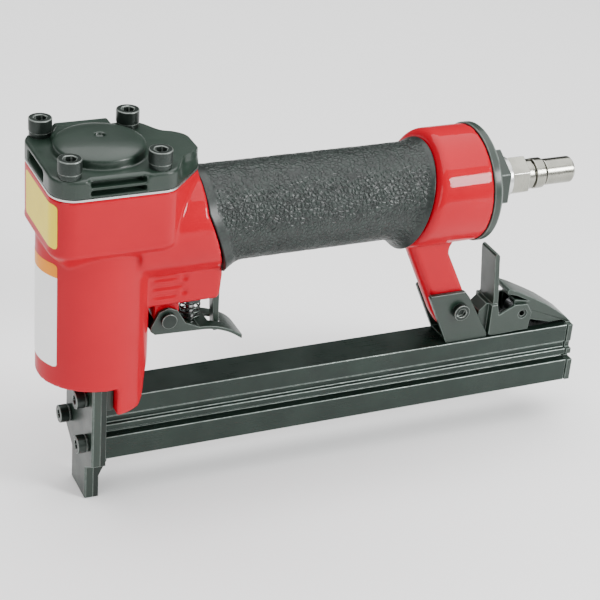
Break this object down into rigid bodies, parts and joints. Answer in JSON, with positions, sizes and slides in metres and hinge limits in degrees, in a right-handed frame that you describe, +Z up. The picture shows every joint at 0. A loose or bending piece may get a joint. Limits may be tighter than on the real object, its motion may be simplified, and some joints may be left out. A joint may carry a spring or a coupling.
{
  "type": "pneumatic upholstery stapler",
  "caption": "Compact air stapler with a capped cylinder head, rubber gripped handle, finger trigger and a bottom loading magazine under the hand opening.",
  "frame": {"origin": "staple exit: on the driver axis, at the bottom of the nose plates", "axes": "+X towards the air plug along the magazine, +Y to the left, +Z up along the driver axis"},
  "size_m": [0.2274, 0.0464, 0.148],
  "materials": {
    "red_paint": "gloss enamel on a light alloy casting",
    "black_cast": "semi gloss black enamel on a light alloy casting",
    "gasket": "bare sheet",
    "black_steel": "black oxide",
    "black_plate": "blackened and oiled",
    "anodised": "black anodised extrusion",
    "raw_aluminium": "turned",
    "ground_steel": "hardened and ground",
    "spring_wire": "bright spring wire",
    "grip_rubber": "matt black",
    "seal_rubber": "oiled",
    "bumper": "polyurethane",
    "nickel": "nickel plated",
    "valve_plastic": "moulded"
  },
  "bodies": {
    "stapler": {"housing": "red_paint", "cap_gasket": "gasket", "cylinder_cap": "black_cast", "cap_screws": "black_steel", "cap_spring_washers": "black_steel", "cylinder_sleeve": "raw_aluminium", "sleeve_o_rings": "seal_rubber", "bumper": "bumper", "head_valve_spring": "spring_wire", "nose_front_plate": "black_plate", "driver_guide_plate": "black_plate", "nose_block": "black_steel", "nose_screws": "black_steel", "nose_washers": "black_steel", "fixed_magazine": "anodised", "rear_bracket": "black_steel", "bracket_screw": "black_steel", "bracket_nut": "black_steel", "grip_sleeve": "grip_rubber", "end_cap": "black_cast", "end_cap_o_ring": "seal_rubber", "plug_washer": "ground_steel", "air_plug": "nickel", "trigger_pin": "black_plate", "trigger_valve_body": "valve_plastic", "trigger_spring": "spring_wire", "trigger_stop_hook": "black_steel"},
    "trigger": {"trigger_lever": "black_steel"},
    "valve_stem": {"valve_stem": "ground_steel"},
    "head_valve": {"head_valve": "valve_plastic"},
    "piston": {"piston": "raw_aluminium", "piston_o_ring": "seal_rubber", "driver_blade": "ground_steel", "driver_pin": "ground_steel"},
    "magazine_rail": {"movable_rail": "anodised", "staple_rail": "black_plate", "pull_handle": "black_steel", "latch_pin": "ground_steel", "latch_spring": "spring_wire"},
    "latch": {"latch_lever": "black_steel"},
    "pusher": {"pusher": "black_plate", "pusher_roll_spring": "spring_wire"}
  },
  "joints": [
    {"name": "trigger_pull", "type": "hinge", "parent": "stapler", "child": "trigger", "pos_m": [0.0274, 0, 0.0732], "axis": [0, -1, 0], "range_deg": [0, 8], "stiffness_Nm_per_rad": 0.25, "springref_deg": -20.05, "deforming": ["trigger_spring"]},
    {"name": "valve_stem_lift", "type": "slide", "parent": "stapler", "child": "valve_stem", "axis": [0, 0, 1], "range_m": [0, 0.0014]},
    {"name": "head_valve_lift", "type": "slide", "parent": "stapler", "child": "head_valve", "axis": [0, 0, 1], "range_m": [0, 0.003], "stiffness_N_per_m": 2000, "springref_m": -0.002, "deforming": ["head_valve_spring"]},
    {"name": "driver_stroke", "type": "slide", "parent": "stapler", "child": "piston", "axis": [0, 0, -1], "range_m": [0, 0.0425]},
    {"name": "magazine_slide", "type": "slide", "parent": "stapler", "child": "magazine_rail", "axis": [1, 0, 0], "range_m": [0, 0.1]},
    {"name": "latch_press", "type": "hinge", "parent": "magazine_rail", "child": "latch", "pos_m": [0.1817, 0, 0.0511], "axis": [0, 1, 0], "range_deg": [0, 7], "stiffness_Nm_per_rad": 0.2, "springref_deg": -20.05},
    {"name": "pusher_slide", "type": "slide", "parent": "magazine_rail", "child": "pusher", "axis": [1, 0, 0], "range_m": [0, 0.12], "stiffness_N_per_m": 20, "springref_m": -0.05}
  ],
  "couplings": [
    {"joint": "valve_stem_lift", "follows": "trigger_pull", "m_per_rad": 0.01}
  ]
}
